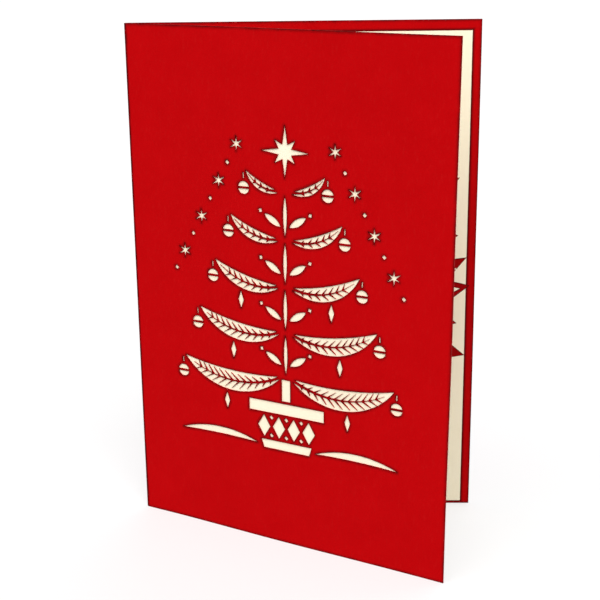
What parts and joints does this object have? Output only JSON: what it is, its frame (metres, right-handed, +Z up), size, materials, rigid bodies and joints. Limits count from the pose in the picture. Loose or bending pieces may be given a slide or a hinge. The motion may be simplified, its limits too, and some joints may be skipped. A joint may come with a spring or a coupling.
{
  "type": "greeting card",
  "caption": "Folded pop-up greeting card standing part open, with a laser-cut front panel, a cream liner and leaf fans that rise from its fold.",
  "frame": {"origin": "middle of the footprint of the open card, on the surface that its bottom edges stand on", "axes": "+Z up along the fold, +X from the fold towards the open mouth along the middle plane, +Y towards the back panel"},
  "size_m": [0.1184, 0.0626, 0.18],
  "materials": {
    "red_card": "uncoated dyed-through card, matt with a fine fibre tooth",
    "cream_paper": "uncoated cream paper, matt",
    "red_popup_card": "uncoated dyed-through card, matt, laser cut"
  },
  "bodies": {
    "root": {"cover": "red_card", "liner": "cream_paper", "popup_tier_1": "red_popup_card", "popup_tier_2": "red_popup_card", "popup_tier_3": "red_popup_card", "popup_tier_4": "red_popup_card"}
  },
  "joints": []
}
